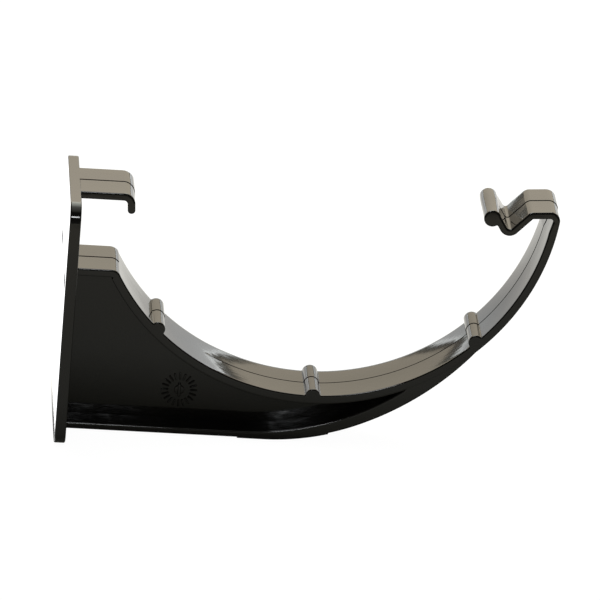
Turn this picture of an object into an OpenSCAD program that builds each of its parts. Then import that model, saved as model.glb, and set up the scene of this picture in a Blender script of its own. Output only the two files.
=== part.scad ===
// Fascia bracket for a half-round rain gutter, moulded in one piece.
// +X points away from the fascia, +Y along the gutter and +Z up. The origin is midway between the
// two screw holes, on the face that lies against the fascia.

/* [Fascia plate] */
// Width of the plate along the gutter
plate_w = 40; // [36:1:56]
// Thickness of the plate
plate_t = 2.9; // [2:0.1:4]
// Height of the plate's top edge above the screws
plate_above = 22; // [18:0.5:28]
// Depth of the plate's foot below the screws
plate_below = 43.6; // [42:0.2:50]
// Radius of the two top corners
top_corner_r = 4.4; // [1:0.1:6]
// Radius of the two foot corners
foot_corner_r = 3.3; // [1:0.1:6]

/* [Screw holes] */
// Diameter of the two screw holes
screw_d = 5; // [3.5:0.5:6]
// Distance between the two screw holes
screw_pitch = 28; // [26:0.5:30]

/* [Gutter] */
// Outside diameter of the gutter that the bracket carries
gutter_d = 112; // [104:1:118]
// Distance from the fascia to the gutter's centre line
gutter_reach = 65.2; // [62:0.2:72]
// Height of the gutter's centre line above the plate's top edge
gutter_rise = 5.1; // [3:0.1:8]

/* [Strap] */
// Width of the hook, band, clip and flange along the gutter
strap_w = 16.3; // [12:0.1:20]
// Slope of every wall away from the parting line in the middle of its width, in degrees
draft = 1.5; // [0.5:0.25:2.5]
// Gap between the gutter and the band's side edges
band_gap = 1.95; // [1.5:0.05:2.2]
// Thickness of the band under the gutter, at its side edges
band_t = 2.2; // [1.8:0.1:3]
// Angle below the horizontal at which the band gives way to the front clip
band_end = 10.3; // [9:0.1:14]

/* [Standoff beads] */
// Radius of the three half-round beads that hold the gutter off the band, at the parting line
bead_r = 2.05; // [1.6:0.05:2.4]
// Angle of the middle bead, in degrees forward of the band's lowest point
bead_lead = 0.7; // [0:0.1:3]
// Angle from one bead to the next
bead_pitch = 44.6; // [30:0.2:50]

/* [Rear hook] */
// Reach of the hook in front of the plate
hook_reach = 13.9; // [10:0.1:18]
// Depth of the hook from its top to its tip
hook_drop = 5.5; // [5:0.1:8]
// Thickness of the hook
hook_t = 1.7; // [1.3:0.1:2.2]
// Inside radius of the hook's bend
hook_r = 0.85; // [0.3:0.05:1.2]
// Outward lean of the hook's tip
hook_splay = 4; // [0:1:8]

/* [Rear shelf] */
// Depth of the shelf under the gutter's back edge, below the plate's top edge
shelf_drop = 21; // [18:0.5:24]
// Thickness of the shelf
shelf_t = 1.9; // [1.5:0.1:2.2]
// Inside radius of the bend from the shelf into the band
shelf_r = 0.4; // [0.2:0.05:1]

/* [Front clip] */
// Thickness of the clip
clip_t = 1.7; // [1.4:0.1:2.1]
// Angle below the horizontal at which the clip turns inward
clip_turn = 6.5; // [5:0.1:8]
// Inside radius of the clip's outer corner
corner_r = 0.5; // [0.2:0.05:1]
// Length of the flat on top of the clip
crest_len = 4.3; // [3:0.1:6]
// Fall of that flat towards the gutter, in degrees
crest_fall = 3.8; // [0:0.2:8]
// Inside radius of the knee at the flat's inner end
knee_r = 0.2; // [0.15:0.05:1]
// Length of the ramp down from the knee
ramp_len = 5.4; // [4:0.1:7]
// Slope of the ramp, in degrees
ramp_slope = 47; // [40:1:55]
// Inside radius of the valley at the foot of the ramp
valley_r = 0.7; // [0.4:0.05:1.5]
// Length of the neck from the valley to the nose
neck_len = 4.2; // [3:0.1:6]
// Slope of the neck, in degrees
neck_slope = 58; // [50:1:70]
// Radius of the rounded nose that holds the gutter's front edge, at its ends
nose_r = 1.93; // [1.6:0.01:2.4]

/* [Gusset] */
// Thickness of the web between the plate, the band and the flange
web_t = 2.7; // [2:0.1:4]
// Thickness of the flange along the web's lower edge, at its side edges
flange_t = 1.5; // [1.2:0.1:2.2]
// How far behind the gutter's lowest point the flange starts to rise
flange_lead = 11.2; // [6:0.2:18]
// How far the flange turns before its curve grows wider, in degrees
flange_turn = 23.5; // [15:0.5:28]
// Angle below the horizontal at which the flange runs into the band
flange_merge = 46.4; // [42:0.2:52]
// Thickness of the shallow pad under the flange
pad_t = 0.3; // [0.2:0.05:0.6]
// Length of the flat rear part of that pad
pad_flat = 6.6; // [3:0.2:12]
// Angle through which the pad follows the flange's curve
pad_turn = 16; // [8:1:20]

/* [Hidden] */
$fa = 3;
$fs = 0.4;
black = [0.07, 0.066, 0.06];

// How far the draft raises each face of a strap wall in the middle of its width, to a micrometre.
crown = round(strap_w / 2 * tan(draft) * 1000) / 1000;

// The profile is drawn in the gutter's own frame: x away from the fascia, y up, z along the gutter.
gutter_z = plate_above + gutter_rise;
plate_front = plate_t - gutter_reach;
bead_at = gutter_d / 2 + bead_r;
band_in = gutter_d / 2 + band_gap;
band_out = band_in + band_t;
root = 1;
bury = 2;
lap = 0.2;
// Radius of the slanted straight parts, so wide that they bow by less than 0.005 mm.
flat_r = 900;
quarter = 90;
half_turn = 180;
degree = half_turn / PI;

// A wall's cross-section: an offset to the left of the path, from lo to hi, by the position along
// the gutter, with a ridge of the crown's height on both faces at the parting line.
function wall(lo, hi) = [
    [lo, -strap_w / 2], [hi, -strap_w / 2], [hi + crown, 0],
    [hi, strap_w / 2], [lo, strap_w / 2], [lo - crown, 0]
];
// The core of that wall, which laps into the walls before and after it and makes them one solid.
function core(lo, hi) =
    let (third = (hi - lo) / 3)
    [
        [lo + third, -strap_w / 4], [hi - third, -strap_w / 4],
        [hi - third, strap_w / 4], [lo + third, strap_w / 4]
    ];
// Half of a round section, such as a bead's: its radius by the position along the gutter.
function half_round(r) = [
    [0, -strap_w / 2], [r, -strap_w / 2], [r + crown, 0], [r, strap_w / 2], [0, strap_w / 2]
];
// Steps of a path: a level run, a turn to the left or right about a centre r to that side until the
// path heads a given way, and a slanted run, which is a very wide left turn. A face is [lo, hi].
function run(length, face) = [0, length, 0, face];
function left(heading, r, face) = [1, heading, r, face];
function right(heading, r, face) = [-1, heading, r, face];
function slant(length, heading, face) =
    [1, heading + round(length / flat_r * degree * 1000) / 1000, flat_r, face];
// Outer bend radius of a wall whose inside radius is measured on its ridge.
function outer(r, t) = r + crown + t;
function polar(r, a) = [r * cos(a), r * sin(a)];
function from_low(r, a) = [r * sin(a), -r * cos(a)];
// Where a turn has its centre, and where a step ends, from its start [x, y, heading].
function centre(step, at) = [at.x, at.y] + polar(step[2], at.z + step[0] * quarter);
function end(step, at) =
    let (
        heading = step[0] == 0 ? at.z : step[1],
        place = step[0] == 0 ? [at.x, at.y] + polar(step[1], heading)
            : centre(step, at) - polar(step[2], heading + step[0] * quarter)
    )
    [place.x, place.y, heading];

// Shelf: the bend whose outer face meets the band's inner face tangentially, at an angle rounded to
// a thousandth of a degree, and from it the shelf's end and its height.
shelf_bend = outer(shelf_r, shelf_t);
shelf_c = band_in + shelf_bend;
shelf_turn = round(acos((gutter_rise + shelf_drop + crown + shelf_bend) / shelf_c) * 1000) / 1000;
shelf_end = -shelf_c * sin(shelf_turn);
shelf_y = shelf_bend - shelf_c * cos(shelf_turn);

// Flange: a flat, a curve of the band's own radius, and a wider curve that reaches the band's outer
// face at the merge angle.
flange_y = -gutter_z - plate_below + crown;
rise_r = band_out;
rise_c = [-flange_lead, flange_y + rise_r];
merge = polar(band_out, -flange_merge);
to_merge = merge - rise_c;
rise_end = from_low(1, flange_turn);
sweep_r = round(
    (rise_r - (to_merge * to_merge - rise_r * rise_r) / (2 * (to_merge * rise_end - rise_r))) * 1000
) / 1000;
sweep_c = rise_c + (rise_r - sweep_r) * rise_end;
merge_dir = merge - sweep_c;
sweep_to = round(atan2(merge_dir.x, -merge_dir.y) + bury / sweep_r * degree);

// Moves its children by whole micrometres and then by the rest, which keeps all digits of the move.
module shift(move) {
    coarse = [for (v = move) round(v * 1000) / 1000];
    rest = move - coarse;
    translate([coarse.x, coarse.y, 0]) translate([rest.x, rest.y, 0]) children();
}

// Draws a level run, from lo to hi beside the path.
module straight(length, section) {
    rotate([90, 0, 90]) linear_extrude(length) polygon(section);
}

// Draws a turn to the left (side 1) or the right (side -1) about the origin.
module bend(side, r, first, turn, section) {
    rotate_extrude(angle = turn, start = first) polygon([for (p = section) [r - side * p.x, p.y]]);
}

// Draws the steps of a path from [x, y, heading] on, then its children at the path's end.
module sweep(path, at, i = 0) {
    if (i == len(path)) {
        shift([at.x, at.y]) children();
    } else {
        step = path[i];
        side = step[0];
        r = step[2];
        face = wall(step[3][0], step[3][1]);
        middle = core(step[3][0], step[3][1]);
        if (side == 0) {
            shift([at.x, at.y]) straight(step[1], face);
            shift([at.x - lap, at.y]) straight(step[1] + 2 * lap, middle);
        } else {
            turn = abs(step[1] - at.z);
            first = min(step[1], at.z) - side * quarter;
            more = lap / (r - side * (step[3][0] + step[3][1]) / 2) * degree;
            shift(centre(step, at)) {
                bend(side, r, first, turn, face);
                bend(side, r, first - more, turn + 2 * more, middle);
            }
        }
        sweep(path, end(step, at), i + 1) children();
    }
}

// Half of the plate, from the screw line up to height h, with its two rounded corners.
module plate_half(h, corner_r) {
    translate([0, -plate_w / 2 + corner_r, 0]) cube([plate_t, plate_w - 2 * corner_r, h]);
    translate([0, -plate_w / 2, 0]) cube([plate_t, plate_w, h - corner_r]);
    for (side = [-1, 1])
        translate([0, side * (plate_w / 2 - corner_r), h - corner_r])
            rotate([90, 0, 90])
                rotate(side > 0 ? 0 : 90)
                    rotate_extrude(angle = 90) square([corner_r, plate_t]);
}

module plate() {
    difference() {
        union() {
            plate_half(plate_above, top_corner_r);
            mirror([0, 0, 1]) plate_half(plate_below, foot_corner_r);
        }
        for (side = [-1, 1])
            translate([-root, side * screw_pitch / 2, 0])
                rotate([0, 90, 0]) cylinder(d = screw_d, h = plate_t + 2 * root);
    }
}

// The hook that the gutter's back edge slides under.
module hook() {
    face = [-hook_t, 0];
    turn = outer(hook_r, hook_t);
    tip = hook_t / 2;
    down = hook_splay - quarter;
    leg = slant(hook_drop - turn - tip, down, face);
    first = leg[1] - quarter;
    sweep([
        run(hook_reach - turn + root, face),
        right(down, turn, face),
        leg
    ], [plate_front - root, -gutter_rise - crown, 0])
        shift(polar(tip, first)) rotate_extrude(angle = half_turn, start = first)
            polygon(half_round(tip));
}

// The shelf under the gutter's back edge and the band that follows the gutter round.
module shelf_and_band() {
    sweep([
        run(shelf_end - plate_front + root, [-shelf_t, 0]),
        right(-shelf_turn, shelf_bend, [-shelf_t, 0]),
        left(quarter - band_end, band_in, [-band_t, 0])
    ], [plate_front - root, shelf_y, 0]);
}

module beads() {
    for (i = [-1:1])
        rotate(bead_lead + i * bead_pitch - quarter)
            translate([bead_at, 0, 0]) rotate_extrude() polygon(half_round(bead_r - crown));
}

// The springy clip over the gutter's front edge: a leg in line with the band's outer face, a flat
// crest, a ramp down to a valley, and a neck that ends in a rounded nose.
module clip() {
    face = [0, clip_t];
    foot = polar(band_out, -band_end);
    crest = half_turn + crest_fall;
    ramp = half_turn + ramp_slope;
    neck = half_turn - neck_slope;
    sweep([
        left(quarter - clip_turn, band_out, face),
        left(crest, outer(corner_r, clip_t), face),
        slant(crest_len, crest, face),
        left(ramp, outer(knee_r, clip_t), face),
        slant(ramp_len, ramp, face),
        right(neck, valley_r + crown, face),
        slant(neck_len, neck, face)
    ], [foot.x, foot.y, quarter - band_end])
        shift(polar(nose_r - crown / 2, neck + quarter)) rotate_extrude() polygon(half_round(nose_r));
}

// The flange along the lower edge of the gusset, with the shallow pad under it.
module flange() {
    face = [0, flange_t];
    pad = [-pad_t, flange_t / 2];
    sweep([
        run(-flange_lead - plate_front + root, face),
        left(flange_turn, rise_r, face),
        left(sweep_to, sweep_r, face)
    ], [plate_front - root, flange_y, 0]);
    sweep([run(pad_flat, pad), left(pad_turn, rise_r, pad)], [-flange_lead - pad_flat, flange_y, 0]);
}

// The thin web that fills the gusset, up to the middle of the walls around it.
module web() {
    mid = flange_t / 2;
    step = 4;
    rise = [for (a = [0:step:flange_turn]) rise_c + from_low(rise_r - mid, a)];
    wide = [for (a = [flange_turn:step:sweep_to]) sweep_c + from_low(sweep_r - mid, a)];
    top = shelf_y - shelf_t / 2;
    linear_extrude(web_t, center = true)
        difference() {
            polygon(concat(
                [[plate_front - root, top], [plate_front - root, flange_y + mid]],
                rise, wide, [polar(band_in, -flange_merge), [shelf_end, top]]
            ));
            circle(r = band_in + band_t / 2);
        }
}

module bracket() {
    color(black) {
        plate();
        translate([gutter_reach, 0, gutter_z]) rotate([90, 0, 0]) {
            hook();
            shelf_and_band();
            beads();
            clip();
            flange();
            web();
        }
    }
}

bracket();
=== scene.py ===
# Looks of the gutter bracket: one glossy black PVC moulding on a pale studio floor.
# The bracket's lengths are in millimetres and become metres where a mesh is made. Its frame has
# +X away from the fascia, +Y along the gutter, +Z up, and its origin midway between the screw holes.
# The strap's outlines are drawn about the gutter's centre line, x away from the fascia and y up.
import math

import bmesh
import bpy
from mathutils import Matrix, Vector


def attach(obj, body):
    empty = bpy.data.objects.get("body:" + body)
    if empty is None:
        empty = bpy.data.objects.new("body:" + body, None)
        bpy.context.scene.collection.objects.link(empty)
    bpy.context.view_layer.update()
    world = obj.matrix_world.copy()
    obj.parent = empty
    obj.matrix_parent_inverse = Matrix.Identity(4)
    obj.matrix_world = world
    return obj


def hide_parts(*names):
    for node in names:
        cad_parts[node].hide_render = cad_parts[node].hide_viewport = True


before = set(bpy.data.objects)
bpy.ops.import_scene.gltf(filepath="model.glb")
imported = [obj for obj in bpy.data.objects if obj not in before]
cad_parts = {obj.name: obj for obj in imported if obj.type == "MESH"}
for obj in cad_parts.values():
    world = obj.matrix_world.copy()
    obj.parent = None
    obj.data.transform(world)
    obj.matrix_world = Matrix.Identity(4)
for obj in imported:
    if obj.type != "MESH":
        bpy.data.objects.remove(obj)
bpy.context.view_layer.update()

MM = 0.001

# ---------------------------------------------------------------- the moulding's sizes

# Fascia plate and its screw holes.
PLATE_W = 40.0
PLATE_T = 2.9
PLATE_TOP = 22.0
PLATE_FOOT = -43.6
PLATE_EDGE_R = 0.4
TOP_CORNER_R = 4.4
FOOT_CORNER_R = 3.3
SCREW_R = 2.5
SCREW_Y = 14.0

# Gutter that the bracket carries, and the strap that holds it.
REACH = 65.2
RISE = 5.1
GUTTER_R = 56.0
STRAP_W = 16.3
DRAFT = math.radians(1.5)
BAND_GAP = 1.95
BAND_T = 2.2
# The band ends some degrees below the gutter's centre, where a slanted shoulder leads to the clip.
BAND_END = 10.3
SHOULDER = 1.2
SHOULDER_RISE = 0.12
# The middle bead stands a little in front of the gutter's bottom, and the others evenly from it.
BEAD_R = 2.05
BEAD_LEAD = 0.7
BEAD_PITCH = 44.6

# Rear hook and shelf.
HOOK_REACH = 13.9
HOOK_DROP = 5.5
HOOK_T = 1.85
HOOK_R = 0.85
HOOK_SPLAY = 4.0
SHELF_DROP = 21.0
SHELF_T = 1.9
SHELF_R = 0.4

# Front clip.
CLIP_T = 1.7
CLIP_TURN = 6.5
CORNER_R = 0.5
CREST_LEN = 4.3
CREST_FALL = 3.8
KNEE_R = 0.2
RAMP_LEN = 5.4
RAMP_SLOPE = 47.0
VALLEY_R = 0.7
NECK_LEN = 3.95
NECK_SLOPE = 58.0
NOSE_R = 2.13

# Gusset under the band: a thin web, the flange along its lower edge and the pad under that. The
# flange's faces meet the band at their own angles below the gutter's centre.
WEB_T = 2.7
FLANGE_T = 1.5
FLANGE_LEAD = 11.2
FLANGE_TURN = 23.5
FLANGE_MERGE = 46.4
FLANGE_OVERRUN = 1.2
FLANGE_TOP_LEAD = 16.6
FLANGE_TOP_MERGE = 66.0
PAD_T = 0.3
PAD_FLAT = 6.6
PAD_TURN = 16.0

# Softened edges of the strap, tight on the face and slack on the side, and small blends.
EDGE_IN = 0.2
EDGE_DOWN = 0.55
BLEND_R = 0.4

# The fine groove where the two halves of the mould met: its place across the strap, the widths of
# its two walls, its depth, and how much higher the far half stands. On the band it is finer, and it
# fades in from a place behind the middle.
LINE_AT = 0.3
LINE_LIP = 0.12
LINE_WALL = 0.05
LINE_DEEP = 0.2
LINE_STEP = 0.13
BAND_LINE_DEEP = 0.14
BAND_LINE_STEP = 0.09
LINE_START = -0.47
LINE_FADE = 10

# Beside the groove the near half stands out by LEVEL. Shrinkage has drawn its face hollow and left
# the far half's full. On the band this sink changes towards the front, where the near half leans.
LEVEL = 0.055
SINK = 0.045
BAND_SINK = 0.75
BAND_SINK_RISE = 0.4
BAND_LEAN = 0.3
NEAR_BAND = 0.01

# How far parts reach into each other, and the hair by which the flange is narrower than the band,
# so that the seam between them shows.
BURY = 1.0
SEAM = 0.03

# Plain ticked dial on the web's near face, placed from the gutter's centre line.
DIAL_X = -33.2
DIAL_Y = -61.0
DIAL_TICKS = 20
DIAL_IN = 2.75
DIAL_OUT = 4.7
DIAL_HIGH = 0.32
DIAL_SOFT = 0.8
TICK_W = 0.5
HUB_R = 1.3
POINTER_LEN = 3.7
POINTER_W = 0.8

# How finely curves are drawn: the degrees between a small arc's points and between a wide arc's,
# and the number of steps in the rest.
ARC_STEP = 8
ARC_STEP_LEAST = 0.75
WEB_ARC_STEP = 2
EDGE_STEPS = 6
FACE_STEPS = 10
CORNER_STEPS = 12
CIRCLE_STEPS = 36
BEVEL_STEPS = 3

CROWN = STRAP_W / 2 * math.tan(DRAFT)
AXIS_Z = PLATE_TOP + RISE
FRONT = PLATE_T - REACH
BEAD_AT = GUTTER_R + BEAD_R
BAND_IN = GUTTER_R + BAND_GAP
BAND_OUT = BAND_IN + BAND_T
HALF_W = STRAP_W / 2

# ---------------------------------------------------------------- the plastic

PVC_COLOUR = (0.004, 0.0037, 0.003, 1)
PVC_IOR = 1.5
ROUGH_LEAST = 0.05
ROUGH_MOST = 0.1
# Noise scales are per metre, and depths are in metres.
CLOUD_SCALE = 60
STREAK_SCALE = (60, 900, 60)
STREAK_DEPTH = 0.000006
RIPPLE_SCALE = 160
RIPPLE_DEPTH = 0.00004
SHARP_ANGLE = math.radians(40)
NORMAL_WEIGHT = 80
WELD = 1e-7

# ---------------------------------------------------------------- the studio, in metres

# What the studio's surfaces give back, where 1 is white: stops of (place, colour).
# The floor runs from in front of the bracket, through its shade, to behind it. These stops are
# painted shade, a painted shadow under the bracket and painted light behind it, and only reflections
# see them.
FLOOR_PAINTED_SHADING = (
    (-0.181, (0.01, 0.01, 0.01)),
    (-0.1755, (0.5, 0.47, 0.38)),
    (-0.14, (0.4, 0.385, 0.335)),
    (-0.05, (0.28, 0.28, 0.25)),
    (-0.036, (0.2, 0.2, 0.175)),
    (-0.024, (0.13, 0.13, 0.11)),
    (-0.014, (0.09, 0.09, 0.07)),
    (-0.0105, (0.01, 0.01, 0.01)),
    (0.0, (0.01, 0.01, 0.01)),
    (0.02, (1.12, 1.1, 1.03)),
    (0.3, (1.15, 1.13, 1.07)),
)
# The rear board, upwards: pale card, its bright upper rim, a dark frame and a warm cloth.
BOARD_STOPS = (
    (-0.05, (1.22, 1.18, 1.1)),
    (-0.01, (1.18, 1.17, 1.13)),
    (0.01, (1.35, 1.36, 1.34)),
    (0.03, (1.7, 1.73, 1.71)),
    (0.033, (3.4, 3.5, 3.45)),
    (0.0355, (3.4, 3.5, 3.45)),
    (0.037, (0.25, 0.24, 0.2)),
    (0.046, (0.3, 0.28, 0.23)),
    (0.052, (1.42, 1.27, 1.02)),
    (0.098, (1.7, 1.53, 1.22)),
    (0.148, (2.2, 1.98, 1.62)),
    (0.19, (3.1, 2.9, 2.45)),
)
# The ceiling cloth, backwards: dim over the camera and bright behind.
CEILING_STOPS = (
    (-0.3, (0.1, 0.1, 0.09)),
    (-0.21, (0.45, 0.45, 0.4)),
    (-0.05, (0.98, 0.98, 0.9)),
    (0.03, (1.5, 1.53, 1.4)),
    (0.1, (3.2, 3.3, 3.0)),
    (0.25, (4.3, 4.45, 4.0)),
    (0.45, (4.6, 4.6, 4.0)),
    (0.65, (3.6, 3.45, 2.95)),
)
STOPS_PEAK = 5.0
FLOOR_SEEN = 0.97
FLOOR_MATT = 0.1
WORLD_GLOW = 0.04
CARD_GLOW = 2.2
LAMP_GLOW = 19.0
LAMP_COLOUR = (0.95, 0.98, 1)

# Spans of x and y, and heights.
FLOOR_HALF = 4.0
FLOOR_Z = (PLATE_FOOT - PAD_T) * MM
BOARD_X = (-0.3, 0.45)
BOARD_Y = 0.26
BOARD_TOP = 0.19
BOARD_TILT = math.radians(0.9)
CEILING_X = (-0.12, 0.24)
CEILING_Y = (-0.3, 0.65)
CEILING_Z = 0.42
CARD_X = (-0.05, -0.0005)
CARD_Y = (-0.02, 0.3)
CARD_LIFT = 0.0001
LAMP_AT = (-0.022, -0.6, 0.28)
LAMP_AIM = (0, -0.02, 0.02)
LAMP_SIZE = (0.132, 0.08)

# The photograph's viewpoint: its angles in degrees, and the camera's place from the gutter's
# centre line in millimetres, along the camera's own sides.
AZIMUTH = -4.67
ELEVATION = 22.0
ROLL = 4.84
CAMERA_LEFT = 6.699
CAMERA_DOWN = 32.094
CAMERA_BACK = 1891.1
LENS = 446.06
SENSOR_W = 36
CLIP_END = 50


# ---------------------------------------------------------------- outlines

def polar(r, degrees):
    a = math.radians(degrees)
    return Vector((r * math.cos(a), r * math.sin(a)))


def run(length):
    return ("run", length, 0)


def aside(distance):
    """A step sideways, to the left of the heading."""
    return ("aside", distance, 0)


def to(place, heading):
    """A straight edge to a known place, and the heading to go on with."""
    return ("to", place, heading)


def left(heading, r):
    return (1, heading, r)


def right(heading, r):
    return (-1, heading, r)


def arc(place, heading, side, last, r):
    """Points of a turn to one side, from a place and heading on to the last heading."""
    centre = place + polar(r, heading + side * 90)
    turn = last - heading
    parts = max(2, math.ceil(abs(turn) / max(ARC_STEP_LEAST, ARC_STEP / (1 + r))))
    return [centre - polar(r, heading + turn * i / parts + side * 90) for i in range(1, parts + 1)]


def trace(steps, place, heading):
    """Points of an outline: runs, steps aside, and turns to the left or right towards a heading."""
    place = Vector(place)
    points = [place]
    for kind, amount, r in steps:
        if kind == "to":
            place, heading = amount, r
            points.append(place)
        elif kind in ("run", "aside"):
            place = place + polar(amount, heading + (90 if kind == "aside" else 0))
            points.append(place)
        else:
            points += arc(place, heading, kind, amount, r)
            place, heading = points[-1], amount
    return points


def circle(r, centre=(0, 0)):
    return [Vector(centre) + polar(r, 360 * i / CIRCLE_STEPS) for i in range(CIRCLE_STEPS)]


def soft_edge(out, along):
    """Points round a wall's edge, from its side to its face: a quarter of an ellipse."""
    side = math.copysign(1, along)
    points = []
    for i in range(EDGE_STEPS + 1):
        a = math.pi / 2 * i / EDGE_STEPS
        down = EDGE_DOWN * (1 - math.sin(a))
        inward = EDGE_IN * (1 - math.cos(a))
        points.append(Vector((out - down, along - side * inward)))
    return points


def swell(half, deep, step, sink, lean):
    """How far a wall stands out from its outline, by the place across the strap.

    The groove in the middle has the given depth, and the far half stands a given step higher. The
    near half's face is a little hollow and the far half's full, both by the given sink, and the
    near half leans down towards its edge.
    """
    line = LEVEL + lean / 2
    high = line + step
    lip = LINE_AT - LINE_LIP
    wall = LINE_AT + LINE_WALL
    near = []
    far = []
    for i in range(FACE_STEPS):
        share = i / FACE_STEPS
        swollen = sink * math.sin(math.pi * share)
        near.append(Vector((line - swollen - lean * share, lip - (half + lip) * share)))
        far.append(Vector((high + swollen, wall + (half - wall) * share)))
    near.reverse()
    start = soft_edge(line - lean, -half)
    end = soft_edge(high, half)
    end.reverse()
    return start + near + [Vector((line - deep, LINE_AT))] + far + end


def mitres(outline):
    """For each point of a closed outline, the move that sets both of its edges out by one."""
    moves = []
    for i, point in enumerate(outline):
        into = (point - outline[i - 1]).normalized()
        out = (outline[(i + 1) % len(outline)] - point).normalized()
        first = Vector((into.y, -into.x))
        second = Vector((out.y, -out.x))
        moves.append((first + second) / (1 + first.dot(second)))
    return moves


# ---------------------------------------------------------------- meshes

def to_cad(x, y, along):
    """From the gutter's centre line (x away from the fascia, y up) to the bracket's frame."""
    return Vector((x + REACH, along, y + AXIS_Z)) * MM


def on_band(point):
    """Whether a point lies on the band's inner face, apart from the beads and the clip."""
    return abs(point.length - BAND_IN) < NEAR_BAND and point.y < polar(BAND_IN, -BAND_END).y


def mould_line(point, nose):
    """Depth and step of the mould's line at a point of an outline, and the faces' sink and lean.

    The line is missing on the nose, whose centre is given.
    """
    if (point - nose).length < NOSE_R + BLEND_R:
        return 0, 0, SINK, 0
    if on_band(point):
        along = point.x / BAND_IN
        clear = min(1, max(0, LINE_FADE * (along - LINE_START)))
        sink = SINK * (BAND_SINK + BAND_SINK_RISE * along)
        return BAND_LINE_DEEP * clear, BAND_LINE_STEP * clear, sink, BAND_LEAN * max(0, along)
    return LINE_DEEP, LINE_STEP, SINK / 2, 0


def add_strap(bm, outline, half=HALF_W):
    """Adds a closed wall of the given outline across the strap."""
    nose = nose_centre()
    moves = mitres(outline)
    sections = [swell(half, *mould_line(point, nose)) for point in outline]
    rings = []
    for i in range(len(sections[0])):
        ring = []
        for point, move, section in zip(outline, moves, sections):
            out, along = section[i]
            ring.append(bm.verts.new(to_cad(*(point + move * out), along)))
        rings.append(ring)
    count = len(outline)
    for first, second in zip(rings, rings[1:]):
        for i in range(count):
            j = (i + 1) % count
            bm.faces.new((first[i], first[j], second[j], second[i]))
    bm.faces.new(rings[0])
    bm.faces.new(rings[-1])


def slab(outlines, thickness, edge):
    """A mesh of a flat slab, centred on its plane, from an outline and its holes."""
    curve = bpy.data.curves.new("slab", "CURVE")
    curve.dimensions = "2D"
    curve.fill_mode = "BOTH"
    curve.bevel_resolution = BEVEL_STEPS
    curve.extrude = (thickness / 2 - edge) * MM
    curve.bevel_depth = edge * MM
    curve.offset = -edge * MM
    for outline in outlines:
        spline = curve.splines.new("POLY")
        spline.points.add(len(outline) - 1)
        for point, p in zip(spline.points, outline):
            point.co = (p.x * MM, p.y * MM, 0, 1)
        spline.use_cyclic_u = True
    holder = bpy.data.objects.new("slab", curve)
    bpy.context.collection.objects.link(holder)
    evaluated = holder.evaluated_get(bpy.context.evaluated_depsgraph_get())
    mesh = bpy.data.meshes.new_from_object(evaluated)
    bpy.data.objects.remove(holder)
    bpy.data.curves.remove(curve)
    return mesh


def add_slab(bm, outlines, thickness, edge, place):
    mesh = slab(outlines, thickness, edge)
    mesh.transform(place)
    bm.from_mesh(mesh)
    bpy.data.meshes.remove(mesh)


# ---------------------------------------------------------------- the moulding

def plate_outline():
    """The plate's outline as (y, z) points."""
    half = PLATE_W / 2
    corners = (
        (half, PLATE_TOP, TOP_CORNER_R, 0), (-half, PLATE_TOP, TOP_CORNER_R, 90),
        (-half, PLATE_FOOT, FOOT_CORNER_R, 180), (half, PLATE_FOOT, FOOT_CORNER_R, 270),
    )
    points = []
    for y, z, r, first in corners:
        centre = Vector((y - math.copysign(r, y), z - math.copysign(r, z)))
        points += [centre + polar(r, first + 90 * i / CORNER_STEPS) for i in range(CORNER_STEPS + 1)]
    return points


def add_plate(bm):
    holes = [circle(SCREW_R, (side * SCREW_Y, 0)) for side in (-1, 1)]
    # The slab's own x, y and height become y, z and x.
    place = Matrix(((0, 0, 1, PLATE_T / 2 * MM), (1, 0, 0, 0), (0, 1, 0, 0), (0, 0, 0, 1)))
    add_slab(bm, [plate_outline()] + holes, PLATE_T, PLATE_EDGE_R, place)


def add_hook(bm):
    bend = HOOK_R + CROWN + HOOK_T
    tip = HOOK_T / 2
    down = HOOK_SPLAY - 90
    leg = HOOK_DROP - bend - tip
    top = HOOK_REACH - bend + BURY
    add_strap(bm, trace(
        [
            run(top), right(down, bend - HOOK_T), run(leg),
            left(down + 180, tip), run(leg), left(180, bend), run(top),
        ],
        (FRONT - BURY, -RISE - CROWN - HOOK_T), 0,
    ))


def shelf_measures():
    """Height of the shelf's top edge, its end, its bend's radius and how far the bend turns."""
    y = -RISE - SHELF_DROP - CROWN
    bend = SHELF_R + CROWN + SHELF_T
    centre_r = BAND_IN + bend
    turn = math.degrees(math.acos((bend - y) / centre_r))
    return y, -centre_r * math.sin(math.radians(turn)), bend, turn


def bead_steps(angle):
    """A half-round bead on the band's inner face, met from its front side, with blended feet."""
    r = BEAD_R - CROWN
    track = BAND_IN - BLEND_R
    reach = r + BLEND_R
    spread = math.acos((track ** 2 + BEAD_AT ** 2 - reach ** 2) / (2 * track * BEAD_AT))
    climb = math.degrees(math.atan2(track * math.sin(spread), BEAD_AT - track * math.cos(spread)))
    heading = angle - 90
    spread = math.degrees(spread)
    return [
        right(heading + spread, BAND_IN), right(heading - climb, BLEND_R),
        left(heading + climb, r), right(heading - spread, BLEND_R),
    ]


def clip_steps():
    """The clip's outer face from the band's end round to the foot of the neck."""
    return [
        left(90 - CLIP_TURN, BAND_OUT),
        left(180 + CREST_FALL, CORNER_R + CROWN + CLIP_T), run(CREST_LEN),
        left(180 + RAMP_SLOPE, KNEE_R + CROWN + CLIP_T), run(RAMP_LEN),
        right(180 - NECK_SLOPE, VALLEY_R + CROWN),
    ]


def nose_centre():
    """The nose's centre, from the clip's outer face up to the end of the neck."""
    neck = 180 - NECK_SLOPE
    end = trace(clip_steps() + [run(NECK_LEN)], polar(BAND_OUT, -BAND_END), 90 - BAND_END)[-1]
    return end + polar(NOSE_R - CROWN / 2, neck + 90)


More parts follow.
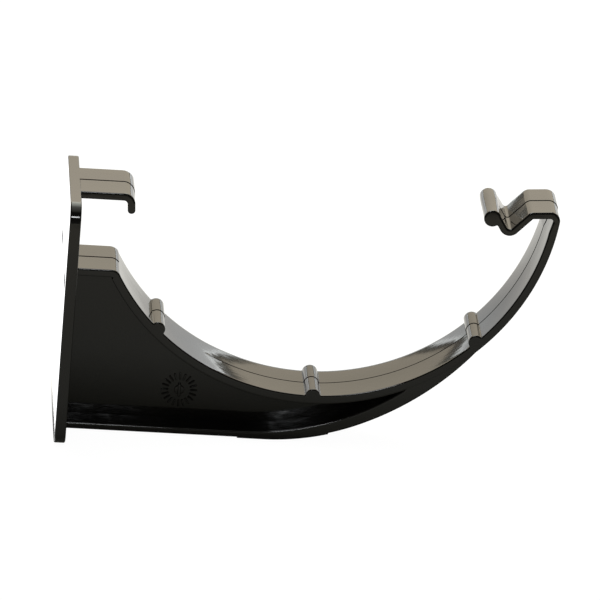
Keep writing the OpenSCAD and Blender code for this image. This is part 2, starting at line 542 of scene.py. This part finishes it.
def nose_steps():
    """The rounded nose, from the neck's front face round to its rear face.

    Before the steps come the lengths that the nose's blends take off those two faces.
    """
    neck = 180 - NECK_SLOPE
    reach = BLEND_R + NOSE_R
    side = NOSE_R - CROWN / 2
    front = math.degrees(math.acos((BLEND_R + side) / reach))
    rear = math.degrees(math.acos((BLEND_R + CLIP_T - side) / reach))
    front_hidden = reach * math.sin(math.radians(front))
    rear_hidden = reach * math.sin(math.radians(rear))
    return front_hidden, rear_hidden, [
        right(neck - front, BLEND_R), left(neck + 180 + rear, NOSE_R), right(neck + 180, BLEND_R),
    ]


def add_band(bm):
    """Shelf, band, beads and clip: one outline, from the shelf's underside round and back."""
    y, end, bend, turn = shelf_measures()
    front_hidden, rear_hidden, nose = nose_steps()
    shoulder = BAND_END + SHOULDER / 2
    steps = [
        run(end - FRONT + BURY), right(-turn, bend - SHELF_T), aside(SHELF_T - BAND_T),
    ]
    steps += clip_steps() + [run(NECK_LEN - front_hidden)] + nose
    steps += [
        run(NECK_LEN - rear_hidden), left(360 + RAMP_SLOPE, VALLEY_R + CROWN + CLIP_T),
        run(RAMP_LEN), right(360 + CREST_FALL, KNEE_R + CROWN),
        run(CREST_LEN), right(270 - CLIP_TURN, CORNER_R + CROWN),
        to(polar(BAND_IN + SHOULDER_RISE, SHOULDER - shoulder), 270 - CLIP_TURN),
        to(polar(BAND_IN, -shoulder), 270 - shoulder),
    ]
    for i in (1, 0, -1):
        steps += bead_steps(270 + BEAD_LEAD + i * BEAD_PITCH)
    steps += [right(180 - turn, BAND_IN), left(180, bend), run(end - FRONT + BURY)]
    add_strap(bm, trace(steps, (FRONT - BURY, y - SHELF_T), 0))


def flange_measures():
    """Height of the flange, the radius of its second curve, and its heading at the merge."""
    y = PLATE_FOOT - AXIS_Z + CROWN
    centre = Vector((-FLANGE_LEAD, y + BAND_OUT))
    merge = polar(BAND_OUT, -FLANGE_MERGE)
    to_merge = merge - centre
    out = polar(1, FLANGE_TURN - 90)
    shift = (to_merge.length_squared - BAND_OUT ** 2) / (2 * (to_merge.dot(out) - BAND_OUT))
    end = merge - centre - out * shift
    return y, BAND_OUT - shift, math.degrees(math.atan2(end.x, -end.y))


def add_flange(bm):
    """The flange's top leaves the straight sooner than its underside and meets the band lower."""
    y, wide_r, last = flange_measures()
    length = -FLANGE_LEAD - FRONT + BURY
    hidden_r = BAND_OUT - BURY
    merge = polar(BAND_OUT, -FLANGE_TOP_MERGE)
    across = merge.x + FLANGE_TOP_LEAD
    rise = merge.y - y - FLANGE_T
    top_r = (across ** 2 + rise ** 2) / (2 * rise)
    top_turn = math.degrees(math.asin(across / top_r))
    outline = trace(
        [
            run(length - PAD_FLAT), aside(-PAD_T), run(PAD_FLAT), left(PAD_TURN, BAND_OUT + PAD_T),
            aside(PAD_T), left(FLANGE_TURN, BAND_OUT), left(last + FLANGE_OVERRUN, wide_r),
            aside(BURY), to(polar(hidden_r, -FLANGE_MERGE), 270 - FLANGE_MERGE),
            right(270 - FLANGE_TOP_MERGE, hidden_r), to(merge, 180 + top_turn),
            right(180, top_r), run(length + FLANGE_LEAD - FLANGE_TOP_LEAD),
        ],
        (FRONT - BURY, y), 0,
    )
    add_strap(bm, outline, HALF_W - SEAM)


def upright_place(x, y, out):
    """Stands a slab along the strap's middle, at a place from the gutter's centre line."""
    x, z = (REACH + x) * MM, (AXIS_Z + y) * MM
    return Matrix(((1, 0, 0, x), (0, 0, -1, -out * MM), (0, 1, 0, z), (0, 0, 0, 1)))


def add_web(bm):
    """The web reaches the middle of the walls round it, where its own edge is hidden."""
    y, end, _, turn = shelf_measures()
    flange_y, wide_r, last = flange_measures()
    half = FLANGE_T / 2
    outline = trace(
        [
            run(-FLANGE_LEAD - FRONT + BURY), left(FLANGE_TURN, BAND_OUT - half),
            left(last, wide_r - half),
        ],
        (FRONT - BURY, flange_y + half), 0,
    )
    mid = BAND_IN + BAND_T / 2
    angles = range(-round(FLANGE_MERGE), -90 - round(turn), -WEB_ARC_STEP)
    outline += [polar(mid, a) for a in angles]
    top = y - SHELF_T / 2
    outline += [Vector((end, top)), Vector((FRONT - BURY, top))]
    add_slab(bm, [outline], WEB_T, 0.0, upright_place(0, 0, 0))


def bar(length, width):
    """A narrow bar's outline with round ends, from the middle of one end."""
    r = width / 2
    return trace(
        [run(length - width), left(180, r), run(length - width), left(360, r)], (r, -r), 0,
    )[:-1]


def add_dial(bm):
    """A plain dial on the web's near face: a ring of ticks round a low hub with a pointer.

    Its slabs are centred on the web's face, so half of each stands out.
    """
    place = upright_place(DIAL_X, DIAL_Y, WEB_T / 2)
    soft = DIAL_HIGH * DIAL_SOFT
    shift = Matrix.Translation((DIAL_IN * MM, 0, 0))
    for i in range(DIAL_TICKS):
        turn = Matrix.Rotation(math.radians(360 * i / DIAL_TICKS), 4, "Z")
        add_slab(bm, [bar(DIAL_OUT - DIAL_IN, TICK_W)], 2 * DIAL_HIGH, soft, place @ turn @ shift)
    add_slab(bm, [circle(HUB_R)], 2 * DIAL_HIGH, soft, place)
    upright = Matrix.Rotation(math.radians(90), 4, "Z")
    shift = Matrix.Translation((-POINTER_LEN / 2 * MM, 0, 0))
    add_slab(bm, [bar(POINTER_LEN, POINTER_W)], 4 * DIAL_HIGH, soft, place @ upright @ shift)


def make_bracket():
    bm = bmesh.new()
    for add in (add_plate, add_hook, add_band, add_flange, add_web, add_dial):
        add(bm)
    bmesh.ops.remove_doubles(bm, verts=bm.verts, dist=WELD)
    bmesh.ops.recalc_face_normals(bm, faces=bm.faces)
    mesh = bpy.data.meshes.new("bracket_moulding")
    bm.to_mesh(mesh)
    bm.free()
    mesh.shade_smooth()
    mesh.set_sharp_from_angle(angle=SHARP_ANGLE)
    obj = bpy.data.objects.new("bracket_moulding", mesh)
    bpy.context.collection.objects.link(obj)
    weighted = obj.modifiers.new("even_normals", "WEIGHTED_NORMAL")
    weighted.keep_sharp = True
    weighted.weight = NORMAL_WEIGHT
    obj.data.materials.append(black_pvc())
    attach(obj, "root")
    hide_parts("bracket")


# ---------------------------------------------------------------- materials

def noise(nodes, scale, detail):
    node = nodes.new("ShaderNodeTexNoise")
    node.inputs["Scale"].default_value = scale
    node.inputs["Detail"].default_value = detail
    return node


def bump(nodes, depth):
    node = nodes.new("ShaderNodeBump")
    node.inputs["Strength"].default_value = 1
    node.inputs["Distance"].default_value = depth
    return node


def black_pvc():
    """Glossy black plastic, with cloudy gloss, fine flow streaks and the ripple of cooling."""
    mat = bpy.data.materials.new("black_pvc")
    mat.use_nodes = True
    nodes, links = mat.node_tree.nodes, mat.node_tree.links
    shader = nodes["Principled BSDF"]
    shader.inputs["Base Color"].default_value = PVC_COLOUR
    shader.inputs["IOR"].default_value = PVC_IOR
    coords = nodes.new("ShaderNodeTexCoord")

    cloud = noise(nodes, CLOUD_SCALE, detail=4)
    links.new(coords.outputs["Object"], cloud.inputs["Vector"])
    rough = nodes.new("ShaderNodeMapRange")
    rough.inputs["To Min"].default_value = ROUGH_LEAST
    rough.inputs["To Max"].default_value = ROUGH_MOST
    links.new(cloud.outputs["Fac"], rough.inputs["Value"])
    links.new(rough.outputs["Result"], shader.inputs["Roughness"])

    stretch = nodes.new("ShaderNodeMapping")
    stretch.inputs["Scale"].default_value = STREAK_SCALE
    links.new(coords.outputs["Object"], stretch.inputs["Vector"])
    streaks = noise(nodes, 1, detail=3)
    links.new(stretch.outputs["Vector"], streaks.inputs["Vector"])
    fine = bump(nodes, STREAK_DEPTH)
    links.new(streaks.outputs["Fac"], fine.inputs["Height"])

    ripple = noise(nodes, RIPPLE_SCALE, detail=2)
    links.new(coords.outputs["Object"], ripple.inputs["Vector"])
    slow = bump(nodes, RIPPLE_DEPTH)
    links.new(ripple.outputs["Fac"], slow.inputs["Height"])
    links.new(fine.outputs["Normal"], slow.inputs["Normal"])
    links.new(slow.outputs["Normal"], shader.inputs["Normal"])
    return mat


def new_glow(name):
    """A material that only glows, and its emission node."""
    mat = bpy.data.materials.new(name)
    mat.use_nodes = True
    nodes, links = mat.node_tree.nodes, mat.node_tree.links
    nodes.clear()
    out = nodes.new("ShaderNodeOutputMaterial")
    glow = nodes.new("ShaderNodeEmission")
    links.new(glow.outputs["Emission"], out.inputs["Surface"])
    return mat, glow


def colour_by_place(tree, axis, stops):
    """A colour that changes with the place along one axis of the object, divided by the peak."""
    nodes, links = tree.nodes, tree.links
    coords = nodes.new("ShaderNodeTexCoord")
    split = nodes.new("ShaderNodeSeparateXYZ")
    links.new(coords.outputs["Object"], split.inputs["Vector"])
    start, stop = stops[0][0], stops[-1][0]
    scale = nodes.new("ShaderNodeMapRange")
    scale.inputs["From Min"].default_value = start
    scale.inputs["From Max"].default_value = stop
    links.new(split.outputs[axis], scale.inputs["Value"])
    ramp = nodes.new("ShaderNodeValToRGB")
    links.new(scale.outputs["Result"], ramp.inputs["Fac"])
    elements = ramp.color_ramp.elements
    while len(elements) < len(stops):
        elements.new(0.5)
    for element, (place, colour) in zip(elements, stops):
        element.position = (place - start) / (stop - start)
        element.color = (*(c / STOPS_PEAK for c in colour), 1)
    return ramp.outputs["Color"]


def pale_floor():
    """White to the camera, with the bracket's soft shadow; in reflections it glows with painted
    shade and a painted shadow.
    """
    mat, glow = new_glow("pale_floor")
    nodes, links = mat.node_tree.nodes, mat.node_tree.links
    bright = nodes.new("ShaderNodeVectorMath")
    bright.operation = "SCALE"
    bright.inputs["Scale"].default_value = STOPS_PEAK
    links.new(colour_by_place(mat.node_tree, "Y", FLOOR_PAINTED_SHADING), bright.inputs["Vector"])
    # Glossy rays see the stops' painted shade and shadow; the camera and matt light see the even
    # white.
    path = nodes.new("ShaderNodeLightPath")
    mirrored = nodes.new("ShaderNodeMix")
    mirrored.data_type = "RGBA"
    mirrored.inputs["A"].default_value = (FLOOR_SEEN, FLOOR_SEEN, FLOOR_SEEN, 1)
    links.new(bright.outputs["Vector"], mirrored.inputs["B"])
    links.new(path.outputs["Is Glossy Ray"], mirrored.inputs["Factor"])
    links.new(mirrored.outputs["Result"], glow.inputs["Color"])
    glow.inputs["Strength"].default_value = 1
    matt = nodes.new("ShaderNodeBsdfDiffuse")
    matt.inputs["Color"].default_value = (FLOOR_MATT, FLOOR_MATT, FLOOR_MATT, 1)
    both = nodes.new("ShaderNodeAddShader")
    links.new(matt.outputs["BSDF"], both.inputs[0])
    links.new(glow.outputs["Emission"], both.inputs[1])
    links.new(both.outputs["Shader"], nodes["Material Output"].inputs["Surface"])
    return mat


def cloth(name, axis, stops):
    """A glowing cloth or board whose brightness changes along one axis."""
    mat, glow = new_glow(name)
    mat.node_tree.links.new(colour_by_place(mat.node_tree, axis, stops), glow.inputs["Color"])
    glow.inputs["Strength"].default_value = STOPS_PEAK
    return mat


def white_card():
    mat, glow = new_glow("white_card")
    glow.inputs["Strength"].default_value = CARD_GLOW
    return mat


# ---------------------------------------------------------------- studio

def plane(name, corners, material):
    mesh = bpy.data.meshes.new(name)
    mesh.from_pydata(corners, [], [(0, 1, 2, 3)])
    obj = bpy.data.objects.new(name, mesh)
    bpy.context.collection.objects.link(obj)
    obj.data.materials.append(material)
    return obj


def rectangle(x, y, z):
    """Corners of a level rectangle over two spans."""
    return [(x[0], y[0], z), (x[1], y[0], z), (x[1], y[1], z), (x[0], y[1], z)]


def make_studio():
    """A wide pale floor, and a board, a cloth and a card that only reflections show."""
    wide = (-FLOOR_HALF, FLOOR_HALF)
    plane("floor", rectangle(wide, wide, FLOOR_Z), pale_floor())

    foot = [(x, BOARD_Y, FLOOR_Z) for x in BOARD_X]
    head = [(x, BOARD_Y, BOARD_TOP) for x in reversed(BOARD_X)]
    board = plane("rear_board", foot + head, cloth("rear_board", "Z", BOARD_STOPS))
    board.rotation_euler.y = BOARD_TILT

    # The ceiling faces down, so its corners run the other way round.
    first, *others = rectangle(CEILING_X, CEILING_Y, CEILING_Z)
    ceiling = plane("ceiling", [first] + others[::-1], cloth("ceiling", "Y", CEILING_STOPS))

    # The card is for the glancing reflection in the plate's back.
    card = plane("low_card", rectangle(CARD_X, CARD_Y, FLOOR_Z + CARD_LIFT), white_card())
    card.visible_diffuse = False
    for prop in (board, ceiling, card):
        prop.visible_camera = False
        prop.visible_shadow = False


def make_world():
    world = bpy.data.worlds.new("studio")
    bpy.context.scene.world = world
    world.use_nodes = True
    background = world.node_tree.nodes["Background"]
    background.inputs["Color"].default_value = (1, 1, 1, 1)
    background.inputs["Strength"].default_value = WORLD_GLOW


def make_lamp():
    """A soft lamp in front, for the fine highlights on rounded edges."""
    light = bpy.data.lights.new("front_lamp", "AREA")
    light.shape = "RECTANGLE"
    light.size, light.size_y = LAMP_SIZE
    light.color = LAMP_COLOUR
    light.energy = LAMP_GLOW * math.pi * LAMP_SIZE[0] * LAMP_SIZE[1]
    lamp = bpy.data.objects.new("front_lamp", light)
    bpy.context.collection.objects.link(lamp)
    lamp.location = LAMP_AT
    lamp.rotation_mode = "QUATERNION"
    lamp.rotation_quaternion = (Vector(LAMP_AIM) - Vector(LAMP_AT)).to_track_quat("-Z", "Y")
    lamp.visible_camera = False


def make_camera():
    azimuth, elevation, roll = (math.radians(a) for a in (AZIMUTH, ELEVATION, ROLL))
    back = Vector((
        math.sin(azimuth) * math.cos(elevation),
        -math.cos(azimuth) * math.cos(elevation),
        math.sin(elevation),
    ))
    level = Vector((math.cos(azimuth), math.sin(azimuth), 0))
    above = back.cross(level)
    across = level * math.cos(roll) + above * math.sin(roll)
    up = above * math.cos(roll) - level * math.sin(roll)
    centre_line = Vector((REACH, 0, AXIS_Z))
    place = centre_line - across * CAMERA_LEFT - up * CAMERA_DOWN + back * CAMERA_BACK
    camera = bpy.data.objects.new("camera", bpy.data.cameras.new("camera"))
    bpy.context.collection.objects.link(camera)
    turn = Matrix((across, up, back)).transposed().to_4x4()
    camera.matrix_world = Matrix.Translation(place * MM) @ turn
    camera.data.lens = LENS
    camera.data.sensor_width = SENSOR_W
    camera.data.clip_end = CLIP_END
    bpy.context.scene.camera = camera


make_bracket()
make_studio()
make_world()
make_lamp()
make_camera()
bpy.context.scene.view_settings.view_transform = "Standard"
